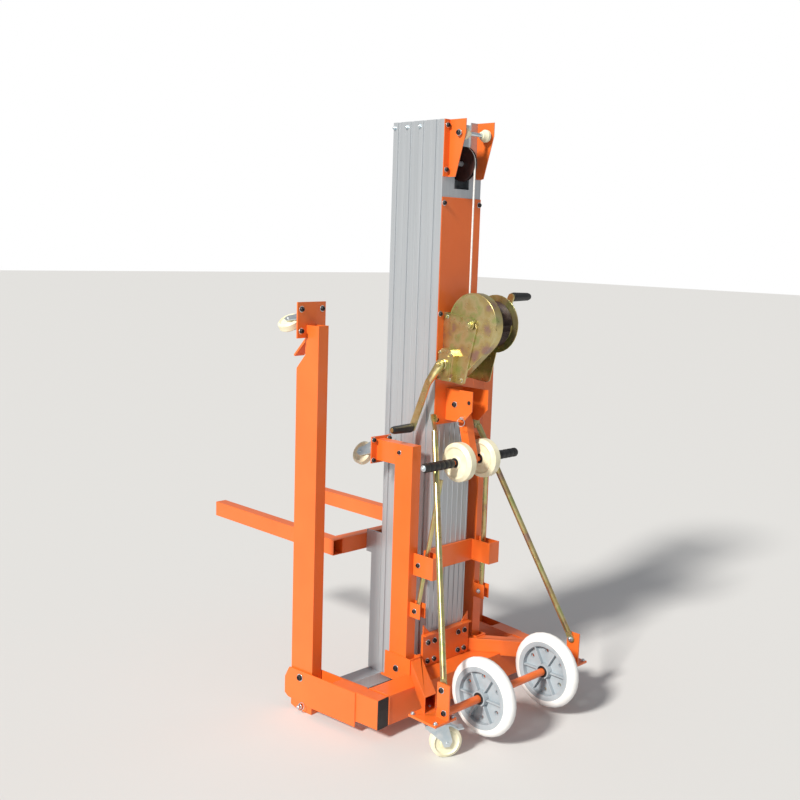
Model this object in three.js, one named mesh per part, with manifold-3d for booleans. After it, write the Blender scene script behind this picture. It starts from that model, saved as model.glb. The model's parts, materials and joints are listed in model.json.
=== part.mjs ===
// Telescoping material lift: folding base, four-section mast, hand winch and forks.
// Millimetres, +Z up, +Y towards the fork tips. Left-hand pieces are "near" (-X), right-hand "far" (+X).
import * as THREE from 'three';
import { mergeVertices } from 'three/addons/utils/BufferGeometryUtils.js';
import Module from 'manifold-3d';

const wasm = await Module();
wasm.setup();

// Driving dimensions
const GAP = 0.3;
const WALL = 3;
const CENTRE_SHIFT_Y = -280;
const SIDES = { near: -1, far: 1 };
const MAST = { halfWidth: 93, depth: 57, bottom: 52, top: 1948, grooveWidth: 14, grooveDepth: 4 };
const SHEAVE = { y: -2, z: 1815, radius: 55, grooveRadius: 47.2, halfWidth: 7, axleRadius: 8 };
const CABLE = { radius: 3, bend: 51, bottom: 130, drumTangentZ: 1308 };
const DRUM = { y: -125, z: 1308, core: 68.5, flange: 94, left: -30, right: 52, axleRadius: 10 };
const CRANK = {
  y: -30, z: 1175, radius: 9, eyeX: 102, armX: 128,
  reachY: 90, reachZ: -218, spindle: 88, gripRadius: 15,
};
const CROSS = { rear: -97, front: -11, bottom: 45, top: 142, halfRear: 356, halfFront: 363.5 };
const ARM = {
  x: 382, width: 50, plate: 5, tubeEnd: 197,
  pivotY: 340, pivotZ: 119, splay: THREE.MathUtils.degToRad(5),
};
const LEG = {
  width: 44, depth: 97, tubeTop: 1291, plateFace: 11,
  plateWidth: 125, plateBottom: 1250, plateTop: 1364,
};
const REAR = {
  endY: -248, inner: 301, outer: 353, bottom: 134,
  top: 189, bracketX: 329.5, bracketTop: 245, bracketThick: 7,
};
const AXLE = { y: -311, z: 154, radius: 12.5 };
const BRACE = { topY: -5, topZ: 995, bottomY: -298, bottomZ: 223, radius: 10 };
const STAB = { inner: 146, outer: 186, rear: 1, front: 80, bottom: 125, top: 908, pivotY: 40, pivotZ: 147 };
const STAY = { radius: 7.5, lowX: 160, lowY: -21, lowZ: 359, topX: 112, topY: -60, topZ: 800 };
const LOADER = {
  pivotY: -42, pivotZ: 1040, axleY: -90, axleZ: 858,
  wheel: 65, wheelX: 60, axleRadius: 8, reach: 228,
};
const FORK = { rear: 304, tip: 998, bottom: 485, top: 540, half: 204, width: 45 };
const CASTER = {
  rear: { radius: 50, width: 34, height: 76, offset: 40 },
  folding: { radius: 40, width: 30, height: 68, offset: 28 },
};
const FOLDED_HEADING = THREE.MathUtils.degToRad(60);
const REAR_HEADING = { near: THREE.MathUtils.degToRad(60), far: THREE.MathUtils.degToRad(-135) };

// Materials
function paint(colour, roughness, metalness) {
  return new THREE.MeshStandardMaterial({ color: colour, roughness, metalness });
}
const orangePaint = paint(0xe8622a, 0.4, 0.1);
const aluminium = paint(0xc9cdcf, 0.35, 0.9);
const yellowZinc = paint(0xc2a45a, 0.3, 0.9);
const blueZinc = paint(0xb4bec6, 0.3, 0.9);
const nylon = paint(0xe9e2c0, 0.5, 0);
const tyreWhite = paint(0xe8e8e8, 0.7, 0);
const blackPlastic = paint(0x1a1a1c, 0.5, 0);
const darkIron = paint(0x2a2022, 0.5, 0.4);
const cableSteel = paint(0xe6e6e6, 0.35, 0.8);

// Solid helpers
function solidOf(geometry) {
  geometry.deleteAttribute('normal');
  geometry.deleteAttribute('uv');
  const merged = mergeVertices(geometry, 1e-3);
  const index = Array.from(merged.index.array);
  const kept = [];
  for (let i = 0; i < index.length; i += 3) {
    const [a, b, c] = index.slice(i, i + 3);
    if (a !== b && b !== c && a !== c) kept.push(a, b, c);
  }
  const vertProperties = new Float32Array(merged.attributes.position.array);
  return new wasm.Manifold(new wasm.Mesh({ numProp: 3, vertProperties, triVerts: new Uint32Array(kept) }));
}

function box([x0, x1], [y0, y1], [z0, z1]) {
  const geometry = new THREE.BoxGeometry(x1 - x0, y1 - y0, z1 - z0);
  geometry.translate((x0 + x1) / 2, (y0 + y1) / 2, (z0 + z1) / 2);
  return solidOf(geometry);
}

function shapeOf(points) {
  return new THREE.Shape(points.map(([a, b]) => new THREE.Vector2(a, b)));
}

function extruded(shape, depth, curveSegments = 12) {
  return new THREE.ExtrudeGeometry(shape, { depth, bevelEnabled: false, curveSegments });
}

// A plate whose outline lies in the XY plane
function alongZ(shape, z0, z1) {
  const geometry = extruded(shape, z1 - z0);
  geometry.translate(0, 0, z0);
  return solidOf(geometry);
}

// A plate whose outline lies in the YZ plane
function alongX(shape, x0, x1) {
  const geometry = extruded(shape, x1 - x0);
  const turn = new THREE.Matrix4().makeBasis(
    new THREE.Vector3(0, 1, 0),
    new THREE.Vector3(0, 0, 1),
    new THREE.Vector3(1, 0, 0),
  );
  geometry.applyMatrix4(turn);
  geometry.translate(x0, 0, 0);
  return solidOf(geometry);
}

function rod(from, to, radius, segments = 14) {
  const start = new THREE.Vector3(...from);
  const span = new THREE.Vector3(...to).sub(start);
  const geometry = new THREE.CylinderGeometry(radius, radius, span.length(), segments);
  geometry.translate(0, span.length() / 2, 0);
  const up = new THREE.Vector3(0, 1, 0);
  const turn = new THREE.Quaternion().setFromUnitVectors(up, span.clone().normalize());
  geometry.applyQuaternion(turn);
  geometry.translate(start.x, start.y, start.z);
  return solidOf(geometry);
}

// A turned piece about the X axis; the profile holds [x, radius] pairs and closes on itself
function turned(profile, segments = 32) {
  const points = profile.map(([x, radius]) => new THREE.Vector2(radius, x));
  points.push(points[0].clone());
  const geometry = new THREE.LatheGeometry(points, segments);
  geometry.rotateZ(-Math.PI / 2);
  return solidOf(geometry);
}

// The X range between two distances from the centre on one side
function spanX(sign, near, far) {
  return [sign * near, sign * far].sort((a, b) => a - b);
}

function join(...solids) {
  return solids.reduce((whole, piece) => whole.add(piece));
}

function cut(solid, ...tools) {
  return tools.reduce((left, tool) => left.subtract(tool), solid);
}

function geometryOf(solid) {
  const mesh = solid.getMesh();
  const geometry = new THREE.BufferGeometry();
  geometry.setAttribute('position', new THREE.BufferAttribute(new Float32Array(mesh.vertProperties), 3));
  geometry.setIndex(new THREE.BufferAttribute(new Uint32Array(mesh.triVerts), 1));
  geometry.computeVertexNormals();
  return geometry;
}

const lift = new THREE.Group();
const floorGroup = new THREE.Group();
floorGroup.position.y = CENTRE_SHIFT_Y;
lift.add(floorGroup);

function place(name, solid, material, parent = floorGroup) {
  const mesh = new THREE.Mesh(geometryOf(solid), material);
  mesh.name = name;
  parent.add(mesh);
  return mesh;
}

// Mast: four hollow extrusions side by side, the rear one fixed to the base
function mastSection(index) {
  const { halfWidth, depth, bottom, top, grooveWidth, grooveDepth } = MAST;
  const rear = index * depth + GAP / 2;
  const front = (index + 1) * depth - GAP / 2;
  const middle = (rear + front) / 2;
  const inner = halfWidth - WALL - grooveDepth;
  const heights = [bottom - 1, top + 1];
  const groove = [middle - grooveWidth / 2, middle + grooveWidth / 2];
  const tools = [
    box([-inner, inner], [rear + WALL, front - WALL], heights),
    box([-halfWidth - 1, -halfWidth + grooveDepth], groove, heights),
    box([halfWidth - grooveDepth, halfWidth + 1], groove, heights),
  ];
  return cut(box([-halfWidth, halfWidth], [rear, front], [bottom, top]), ...tools);
}

function buildMast() {
  const windowHalf = 35;
  const windowBottom = 1735;
  const axleHalf = 45;
  const opening = box([-windowHalf, windowHalf], [-1, WALL + 1], [windowBottom, MAST.top + 1]);
  const axle = rod([-axleHalf, SHEAVE.y, SHEAVE.z], [axleHalf, SHEAVE.y, SHEAVE.z], SHEAVE.axleRadius);
  const rearSection = join(cut(mastSection(0), opening), axle);
  place('mast_section_1', rearSection, aluminium);
  for (const index of [1, 2, 3]) {
    place(`mast_section_${index + 1}`, mastSection(index), aluminium);
  }
  const coverBottom = 971;
  const coverTop = 1707;
  const coverRear = -WALL - GAP;
  const cover = box([-MAST.halfWidth, MAST.halfWidth], [coverRear, -GAP], [coverBottom, coverTop]);
  place('rear_cover', cover, orangePaint);
}

// Top of the mast: two ears, their roller shaft and spools, and the cable sheave
function buildMastHead() {
  const earBottom = 1770;
  const earX = 66;
  const earDepth = 70;
  const earFoot = 32;
  const shaft = { y: -48, z: 1905, radius: 7, half: 76 };
  for (const [side, sign] of Object.entries(SIDES)) {
    const outline = shapeOf([
      [-GAP, earBottom],
      [-GAP, MAST.top],
      [-earDepth, MAST.top],
      [-earDepth, shaft.z],
      [-earFoot, earBottom],
    ]);
    const plateX = spanX(sign, earX, earX + WALL);
    const flangeX = spanX(sign, earX, MAST.halfWidth);
    const ear = alongX(outline, ...plateX);
    const flange = box(flangeX, [-WALL - GAP, -GAP], [earBottom, MAST.top]);
    const boreHalf = shaft.half * 2;
    const bore = rod([-boreHalf, shaft.y, shaft.z], [boreHalf, shaft.y, shaft.z], shaft.radius + GAP);
    place(`top_ear_${side}`, cut(join(ear, flange), bore), orangePaint);
    const spool = turned([
      [-14, shaft.radius + GAP],
      [-14, 12],
      [-5, 14],
      [2, 20],
      [12, 20],
      [14, 17],
      [14, shaft.radius + GAP],
    ], 20);
    const roller = place(`top_roller_${side}`, spool, nylon);
    roller.position.set(sign * 44, shaft.y, shaft.z);
    roller.rotation.z = sign < 0 ? Math.PI : 0;
  }
  const shaftSolid = rod([-shaft.half, shaft.y, shaft.z], [shaft.half, shaft.y, shaft.z], shaft.radius);
  place('top_roller_shaft', shaftSolid, blueZinc);
  const { radius, grooveRadius, halfWidth, axleRadius } = SHEAVE;
  const lip = CABLE.radius + GAP;
  const sheave = turned([
    [-halfWidth, axleRadius + GAP],
    [-halfWidth, radius],
    [-lip - 1, radius],
    [-lip, grooveRadius],
    [lip, grooveRadius],
    [lip + 1, radius],
    [halfWidth, radius],
    [halfWidth, axleRadius + GAP],
  ], 28);
  place('top_sheave', sheave, darkIron).position.set(0, SHEAVE.y, SHEAVE.z);
}

// Half turn of the cable over the top of the sheave, in the YZ plane
class SheaveBend extends THREE.Curve {
  getPoint(t) {
    const angle = Math.PI * (1 - t);
    const y = SHEAVE.y + CABLE.bend * Math.cos(angle);
    return new THREE.Vector3(0, y, SHEAVE.z + CABLE.bend * Math.sin(angle));
  }
}

// Hoist cable: up from the drum, over the sheave and down inside the rear section
function buildCable() {
  const sides = 10;
  const rearY = SHEAVE.y - CABLE.bend;
  const frontY = SHEAVE.y + CABLE.bend;
  const ring = new THREE.Shape();
  ring.absarc(0, 0, CABLE.radius, 0, Math.PI * 2, false);
  const bend = new THREE.ExtrudeGeometry(ring, {
    steps: 12,
    curveSegments: sides,
    extrudePath: new SheaveBend(),
  });
  const rise = rod([0, rearY, CABLE.drumTangentZ], [0, rearY, SHEAVE.z + 1], CABLE.radius, sides);
  const drop = rod([0, frontY, CABLE.bottom], [0, frontY, SHEAVE.z + 1], CABLE.radius, sides);
  place('hoist_cable', join(rise, solidOf(bend), drop), cableSteel);
}

// Outline of a teardrop: a large circle joined to a small one by straight tangents
function teardrop(big, small) {
  const dy = small.y - big.y;
  const dz = small.z - big.z;
  const heading = Math.atan2(dz, dy);
  const spread = Math.acos((big.r - small.r) / Math.hypot(dy, dz));
  const shape = new THREE.Shape();
  shape.absarc(big.y, big.z, big.r, heading + spread, heading - spread + Math.PI * 2, false);
  shape.absarc(small.y, small.z, small.r, heading - spread, heading + spread, false);
  return shape;
}

// Winch: side plates and drum axle, gear cover, drum and double-ended crank
function buildWinch() {
  const plateX = -66;
  const farPlateX = 57;
  const backRear = -7;
  const backFront = -WALL - GAP * 2;
  const sidePlate = shapeOf([
    [backFront, 1342],
    [-120, 1330],
    [-140, 1322],
    [-148, 1300],
    [-104, 1118],
    [-92, 1112],
    [backFront, 1120],
  ]);
  const gearbox = shapeOf([
    [backFront - 2, 1122],
    [backFront - 2, 1212],
    [-22, 1226],
    [-58, 1222],
    [-72, 1204],
    [-66, 1120],
  ]);
  const back = box([plateX, farPlateX + WALL], [backRear, backFront], [1116, 1340]);
  const axle = rod([plateX - 8, DRUM.y, DRUM.z], [farPlateX + 12, DRUM.y, DRUM.z], DRUM.axleRadius);
  const shaftBore = rod([-140, CRANK.y, CRANK.z], [140, CRANK.y, CRANK.z], CRANK.radius + GAP);
  const frame = join(
    alongX(sidePlate, plateX, plateX + WALL),
    alongX(sidePlate, farPlateX, farPlateX + WALL),
    alongX(gearbox, plateX - 22, plateX),
    back,
    axle,
  );
  place('winch_frame', cut(frame, shaftBore), yellowZinc);

  const outer = { left: plateX + WALL + GAP, right: -32 };
  const big = { y: DRUM.y, z: DRUM.z, r: 100 };
  const small = { y: -52, z: 1160, r: 42 };
  const thin = 2.5;
  const shell = alongX(teardrop(big, small), outer.left, outer.right);
  const room = alongX(
    teardrop({ ...big, r: big.r - thin }, { ...small, r: small.r - thin }),
    outer.left + thin,
    outer.right + 1,
  );
  const drumBore = rod([-140, DRUM.y, DRUM.z], [140, DRUM.y, DRUM.z], DRUM.axleRadius + GAP);
  place('gear_cover', cut(shell, room, drumBore, shaftBore), yellowZinc);

  const bore = DRUM.axleRadius + GAP;
  const drum = turned([
    [DRUM.left, bore],
    [DRUM.left, DRUM.flange - 4],
    [DRUM.left + WALL, DRUM.flange - 4],
    [DRUM.left + WALL, DRUM.core],
    [DRUM.right - WALL, DRUM.core],
    [DRUM.right - WALL, DRUM.flange],
    [DRUM.right, DRUM.flange],
    [DRUM.right, bore],
  ], 30);
  place('winch_drum', drum, yellowZinc).position.set(0, DRUM.y, DRUM.z);

  const gearRadius = 84;
  const gear = turned([
    [-56, bore],
    [-56, gearRadius],
    [-36, gearRadius],
    [-36, bore],
  ], 28);
  place('drum_gear', gear, darkIron).position.set(0, DRUM.y, DRUM.z);
}

function buildCrank() {
  const { y, z, radius, eyeX, armX, reachY, reachZ, spindle, gripRadius } = CRANK;
  const armThick = 6;
  const armHalf = 12;
  const spindleRadius = 7;
  const kneeShare = 0.28;
  const shaftHalf = eyeX + armThick + 4;
  const pieces = [rod([-shaftHalf, y, z], [shaftHalf, y, z], radius)];
  for (const [side, sign] of Object.entries(SIDES)) {
    const tipY = y - sign * reachY;
    const tipZ = z - sign * reachZ;
    const along = new THREE.Vector2(tipY - y, tipZ - z).normalize();
    const across = [-along.y * armHalf, along.x * armHalf];
    const kneeY = y + (tipY - y) * kneeShare;
    const kneeZ = z + (tipZ - z) * kneeShare;
    const bar = shapeOf([
      [kneeY - across[0], kneeZ - across[1]],
      [tipY - across[0], tipZ - across[1]],
      [tipY + across[0], tipZ + across[1]],
      [kneeY + across[0], kneeZ + across[1]],
    ]);
    const outerX = sign * (armX + armThick);
    const [x0, x1] = spanX(sign, armX, armX + armThick);
    const [e0, e1] = spanX(sign, eyeX, eyeX + armThick);
    const boss = rod([e0, y, z], [e1, y, z], armHalf + 4);
    const knee = rod([x0, kneeY, kneeZ], [x1, kneeY, kneeZ], armHalf);
    const joggle = wasm.Manifold.hull([boss, knee]);
    const eye = rod([x0, tipY, tipZ], [x1, tipY, tipZ], armHalf);
    const spindleEnd = outerX + sign * (spindle + 4);
    const pin = rod([sign * armX, tipY, tipZ], [spindleEnd, tipY, tipZ], spindleRadius);
    pieces.push(alongX(bar, x0, x1), joggle, eye, pin);
    const grip = turned([
      [0, spindleRadius + GAP],
      [0, gripRadius - 1],
      [8, gripRadius],
      [spindle - 10, gripRadius - 2],
      [spindle, gripRadius - 5],
      [spindle, spindleRadius + GAP],
    ], 20);
    const mesh = place(`crank_grip_${side}`, grip, blackPlastic);
    mesh.position.set(outerX + sign * 2, tipY, tipZ);
    mesh.rotation.z = sign < 0 ? Math.PI : 0;
  }
  place('crank_shaft', join(...pieces), yellowZinc);
}

// Base: cross tube with the stabiliser brackets, splayed front arms, rear arms and tie bar
function buildCrossTube() {
  const { rear, front, bottom, top, halfRear, halfFront } = CROSS;
  const outline = shapeOf([
    [-halfRear, rear],
    [halfRear, rear],
    [halfFront, front],
    [-halfFront, front],
  ]);
  const inside = box([-400, 400], [rear + WALL, front - WALL], [bottom + WALL, top - WALL]);
  const pieces = [cut(alongZ(outline, bottom, top), inside)];
  const plate = 4;
  const bracket = { rear: -25, front: 95, bottom: 108, top: 195, web: 5 };
  const cheek = shapeOf([
    [bracket.rear, top - 1],
    [front - 1, top - 1],
    [front - 1, bracket.bottom],
    [bracket.front, bracket.bottom],
    [bracket.front, bracket.top],
    [bracket.rear, bracket.top],
  ]);
  for (const sign of Object.values(SIDES)) {
    const outerX = sign * (STAB.outer + 1);
    const innerX = sign * (STAB.inner - 1);
    for (const [a, b] of [[outerX, outerX + sign * plate], [innerX, innerX - sign * plate]]) {
      pieces.push(alongX(cheek, Math.min(a, b), Math.max(a, b)));
    }
    const webX = spanX(sign, STAB.inner - 1 - plate, STAB.outer + 1 + plate);
    pieces.push(box(webX, [bracket.rear, bracket.rear + bracket.web], [top - 1, bracket.top]));
    const pinX = [outerX + sign * plate, innerX - sign * plate];
    pieces.push(rod([pinX[0], STAB.pivotY, STAB.pivotZ], [pinX[1], STAB.pivotY, STAB.pivotZ], 8));
  }
  place('base_cross_tube', join(...pieces), orangePaint);
}

function buildFrontArms() {
  const { width, plate, tubeEnd, pivotY, pivotZ } = ARM;
  const half = width / 2;
  const tube = cut(
    box([-half, half], [0, tubeEnd], [CROSS.bottom, CROSS.top]),
    box([-half + WALL, half - WALL], [WALL, tubeEnd + 1], [CROSS.bottom + WALL, CROSS.top - WALL]),
  );
  const hinge = shapeOf([
    [92, 27],
    [92, CROSS.top],
    [392, CROSS.top],
    [412, 104],
    [412, 48],
    [396, 36],
    [300, 27],
  ]);
  const solid = join(
    tube,
    alongX(hinge, -half - plate, -half),
    alongX(hinge, half, half + plate),
    rod([-half - plate, pivotY, pivotZ], [half + plate, pivotY, pivotZ], 8),
  );
  for (const [side, sign] of Object.entries(SIDES)) {
    const arm = place(`front_arm_${side}`, solid, orangePaint);
    arm.position.set(sign * ARM.x, CROSS.rear, 0);
    arm.rotation.z = -sign * ARM.splay;
  }
}

function buildRearArms() {
  const { endY, inner, outer, bottom, top, bracketX, bracketTop, bracketThick } = REAR;
  const outline = shapeOf([
    [outer, endY],
    [188, -25.5],
    [140.5, -25.5],
    [140.5, 8],
    [115.6, 8],
    [115.6, 0],
    [inner, endY],
  ].reverse());
  const tube = alongZ(outline, bottom, top);
  const crossRoom = box([-400, 400], [CROSS.rear - GAP, CROSS.front + GAP], [0, CROSS.top + GAP]);
  const boreShape = shapeOf([
    [outer - WALL * 1.3, endY - 1],
    [outer - 60 - WALL * 1.3, endY + 78],
    [inner - 60 + WALL * 1.3, endY + 78],
    [inner + WALL * 1.3, endY - 1],
  ].reverse());
  const bore = alongZ(boreShape, bottom + WALL, top - WALL);
  const plateThick = 8;
  const casterPlate = box([292, 386], [-327, -212], [bottom - plateThick, bottom]);
  const bracketInner = bracketX - bracketThick / 2;
  const bracket = box([bracketInner, bracketInner + bracketThick], [-329, -279], [bottom, bracketTop]);
  const solid = join(cut(tube, crossRoom, bore), casterPlate, bracket);
  place('rear_arm_far', solid, orangePaint);
  place('rear_arm_near', solid.mirror([1, 0, 0]), orangePaint);
  const axleHalf = bracketInner - GAP;
  const axle = rod([-axleHalf, AXLE.y, AXLE.z], [axleHalf, AXLE.y, AXLE.z], AXLE.radius);
  place('transport_axle', axle, orangePaint);
}

function buildFootAndTie() {
  const plateX = [-115, 115];
  const plateRear = -9.3;
  const plateTop = 258;
  const lipRear = -22;
  const lipThick = 4;
  const tieBar = { half: 377, rear: 210, front: 275, bottom: 10, top: MAST.bottom - GAP };
  const back = box(plateX, [plateRear, -GAP], [CROSS.bottom, plateTop]);
  const cradle = box([-95, 95], [plateRear, tieBar.rear - GAP], [CROSS.bottom, MAST.bottom - GAP]);
  const lip = box(plateX, [lipRear, plateRear + GAP], [plateTop - lipThick, plateTop]);
  place('mast_foot_plate', join(back, cradle, lip), orangePaint);
  const tie = cut(
    box([-tieBar.half, tieBar.half], [tieBar.rear, tieBar.front], [tieBar.bottom, tieBar.top]),
    box(
      [-tieBar.half - 1, tieBar.half + 1],
      [tieBar.rear + WALL, tieBar.front - WALL],
      [tieBar.bottom + WALL, tieBar.top - WALL],
    ),
  );
  place('front_tie_bar', tie, aluminium);
}

// Braces with flattened ends from the mast to the rear arm brackets
function buildBraces() {
  const { topY, topZ, bottomY, bottomZ, radius } = BRACE;
  const thin = 5;
  const topX = MAST.halfWidth + GAP + thin / 2;
  const bracketFace = REAR.bracketX - REAR.bracketThick / 2 - GAP;
  const bottomX = bracketFace - thin / 2;
  const start = new THREE.Vector3(topX, topY, topZ);
  const end = new THREE.Vector3(bottomX, bottomY, bottomZ);
  const along = end.clone().sub(start).normalize();
  const tubeStart = start.clone().addScaledVector(along, 45);
  const tubeEnd = end.clone().addScaledVector(along, -30);
  const tube = rod(tubeStart.toArray(), tubeEnd.toArray(), radius, 16);
  const clip = 14;
  const tabs = [
    flatTab([topX - thin / 2, topX + thin / 2], start, tubeStart, clip),
    flatTab([bottomX - thin / 2, bottomX + thin / 2], end, tubeEnd, clip),
  ];
  const bracketRoom = box([bracketFace, 400], [-340, -270], [100, 260]);
  const mastRoom = box([0, MAST.halfWidth + GAP], [-4, 100], [800, 1100]);
  const solid = cut(join(tube, ...tabs), bracketRoom, mastRoom);
  place('brace_far', solid, yellowZinc);
  place('brace_near', solid.mirror([1, 0, 0]), yellowZinc);
}

// A flat tongue in the YZ plane with a round eye, reaching to the point where the tube begins
function flatTab([x0, x1], eye, reach, half) {
  const direction = new THREE.Vector2(reach.y - eye.y, reach.z - eye.z);
  const length = direction.length() + 8;
  const heading = direction.angle();
  const outline = new THREE.Shape();
  const normal = new THREE.Vector2(-Math.sin(heading), Math.cos(heading));
  const tip = new THREE.Vector2(eye.y + Math.cos(heading) * length, eye.z + Math.sin(heading) * length);
  outline.absarc(eye.y, eye.z, half, heading + Math.PI / 2, heading + Math.PI * 1.5, false);
  outline.lineTo(tip.x - normal.x * half * 0.7, tip.y - normal.y * half * 0.7);
  outline.lineTo(tip.x + normal.x * half * 0.7, tip.y + normal.y * half * 0.7);
  const spreadX = Math.abs(reach.x - eye.x) + 3;
  const [a, b] = reach.x > eye.x ? [x0, x1 + spreadX] : [x0 - spreadX, x1];
  const slab = alongX(outline, a, b);
  const halfThick = (x1 - x0) / 2;
  const wedge = rodBox(eye, reach, halfThick, half * 2);
  return join(slab.intersect(wedge), rod([x0, eye.y, eye.z], [x1, eye.y, eye.z], half));
}

// A straight flat bar around the line between two points, thin across X
function rodBox(from, to, halfThick, halfWide) {
  const geometry = new THREE.BoxGeometry(halfThick * 2, halfWide * 2, from.distanceTo(to) + halfWide * 2);
  const direction = to.clone().sub(from).normalize();
  const turn = new THREE.Quaternion().setFromUnitVectors(new THREE.Vector3(0, 0, 1), direction);
  geometry.applyQuaternion(turn);
  const middle = from.clone().add(to).multiplyScalar(0.5);
  geometry.translate(middle.x, middle.y, middle.z);
  return solidOf(geometry);
}

// Main folding leg, stored upright; its foot is rounded about the hinge so that it can swing
function buildLegs() {
  const { width, depth, tubeTop, plateFace, plateWidth, plateBottom, plateTop } = LEG;
  const half = width / 2;
  const rear = -48;
  const front = rear + depth;
  const foot = -ARM.pivotZ;
  const profile = new THREE.Shape();
  profile.moveTo(rear, foot);
  profile.lineTo(0, foot);
  profile.absarc(0, 0, ARM.pivotZ, -Math.PI / 2, -Math.acos(front / ARM.pivotZ), false);
  profile.lineTo(front, 1150 - ARM.pivotZ);
  profile.lineTo(plateFace, 1195 - ARM.pivotZ);
  profile.lineTo(plateFace, tubeTop - ARM.pivotZ);
  profile.lineTo(rear, tubeTop - ARM.pivotZ);
  const hollow = box([-half + WALL, half - WALL], [rear + WALL, front - WALL], [60, 1040]);
  const upper = box([-half + WALL, half - WALL], [rear + WALL, plateFace - 8], [1030, tubeTop]);
  const bore = rod([-half - 1, 0, 0], [half + 1, 0, 0], 8 + GAP);
  const halfPlate = plateWidth / 2;
  const plateHeights = [plateBottom - ARM.pivotZ, plateTop - ARM.pivotZ];
  const plate = box([-halfPlate, halfPlate], [plateFace - 5, plateFace], plateHeights);
  const lip = alongX(shapeOf([
    [plateFace, plateBottom - ARM.pivotZ],
    [plateFace + 52, 1192 - ARM.pivotZ],
    [plateFace + 49, 1187 - ARM.pivotZ],
    [plateFace - 5, plateBottom - 7 - ARM.pivotZ],
    [plateFace - 5, plateBottom + 1 - ARM.pivotZ],
  ].reverse()), -half, half);
  const solid = join(cut(alongX(profile, -half, half), hollow, upper, bore), plate, lip);
  for (const [side, sign] of Object.entries(SIDES)) {
    const leg = place(`leg_${side}`, solid, orangePaint, legGroup(sign));
    leg.position.set(0, 0, 0);
    buildCaster(`leg_caster_${side}`, CASTER.folding, leg.parent, {
      y: plateFace,
      z: (plateBottom + plateTop) / 2 - ARM.pivotZ,
      heading: sign * FOLDED_HEADING,
      folded: true,
    });
  }
}

function legGroup(sign) {
  const group = new THREE.Group();
  const reach = ARM.pivotY;
  group.position.set(
    sign * (ARM.x + reach * Math.sin(ARM.splay)),
    CROSS.rear + reach * Math.cos(ARM.splay),
    ARM.pivotZ,
  );
  group.rotation.z = -sign * ARM.splay;
  floorGroup.add(group);
  return group;
}

// A swivel caster below the plane z = 0, trailing to -Y at heading 0; folded ones face forwards
function buildCaster(name, size, parent, seat) {
  const { radius, width, height, offset } = size;
  const cheek = 3;
  const inner = width / 2 + 2;
  const outer = inner + cheek;
  const crown = 14;
  const headRadius = radius * 0.62;
  const clearZ = -height + radius + 4;
  const sideOutline = shapeOf([
    [headRadius, -crown],
    [-offset, -crown - 2],
    [-offset - 16, -height + 6],
    [-offset - 8, -height - 12],
    [-offset + 10, -height - 12],
    [-offset + 20, -height + 8],
    [headRadius, Math.min(clearZ, -crown - 8)],
  ].reverse());
  const bridge = box([-outer, outer], [-headRadius, headRadius], [-crown - 3, -crown + 1]);
  const head = rod([0, 0, -crown], [0, 0, -GAP], headRadius, 16);
  const wheelRoom = rod([-inner, -offset, -height], [inner, -offset, -height], radius + 3, 14);
  const pin = rod([-outer - 3, -offset, -height], [outer + 3, -offset, -height], 5, 12);
  const bodySolid = join(
    cut(join(bridge, head), wheelRoom),
    alongX(sideOutline, -outer, -inner),
    alongX(sideOutline, inner, outer),
    pin,
  );
  const wheelSolid = turned([
    [-width / 2, 5 + GAP],
    [-width / 2, radius * 0.36],
    [-width / 2 + 5, radius * 0.42],
    [-width / 2 + 5, radius * 0.72],
    [-width / 2, radius * 0.8],
    [-width / 2 + 6, radius],
    [width / 2 - 6, radius],
    [width / 2, radius * 0.8],
    [width / 2 - 5, radius * 0.72],
    [width / 2 - 5, radius * 0.42],
    [width / 2, radius * 0.36],
    [width / 2, 5 + GAP],
  ], 20);
  const seatGroup = new THREE.Group();
  seatGroup.position.set(seat.x ?? 0, seat.y, seat.z);
  if (seat.folded) seatGroup.rotation.x = Math.PI / 2;
  parent.add(seatGroup);
  const swivel = new THREE.Group();
  swivel.rotation.z = seat.heading;
  seatGroup.add(swivel);
  place(`${name}_fork`, bodySolid, blueZinc, swivel);
  const wheel = place(`${name}_wheel`, wheelSolid, nylon, swivel);
  wheel.position.set(0, -offset, -height);
}

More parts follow.
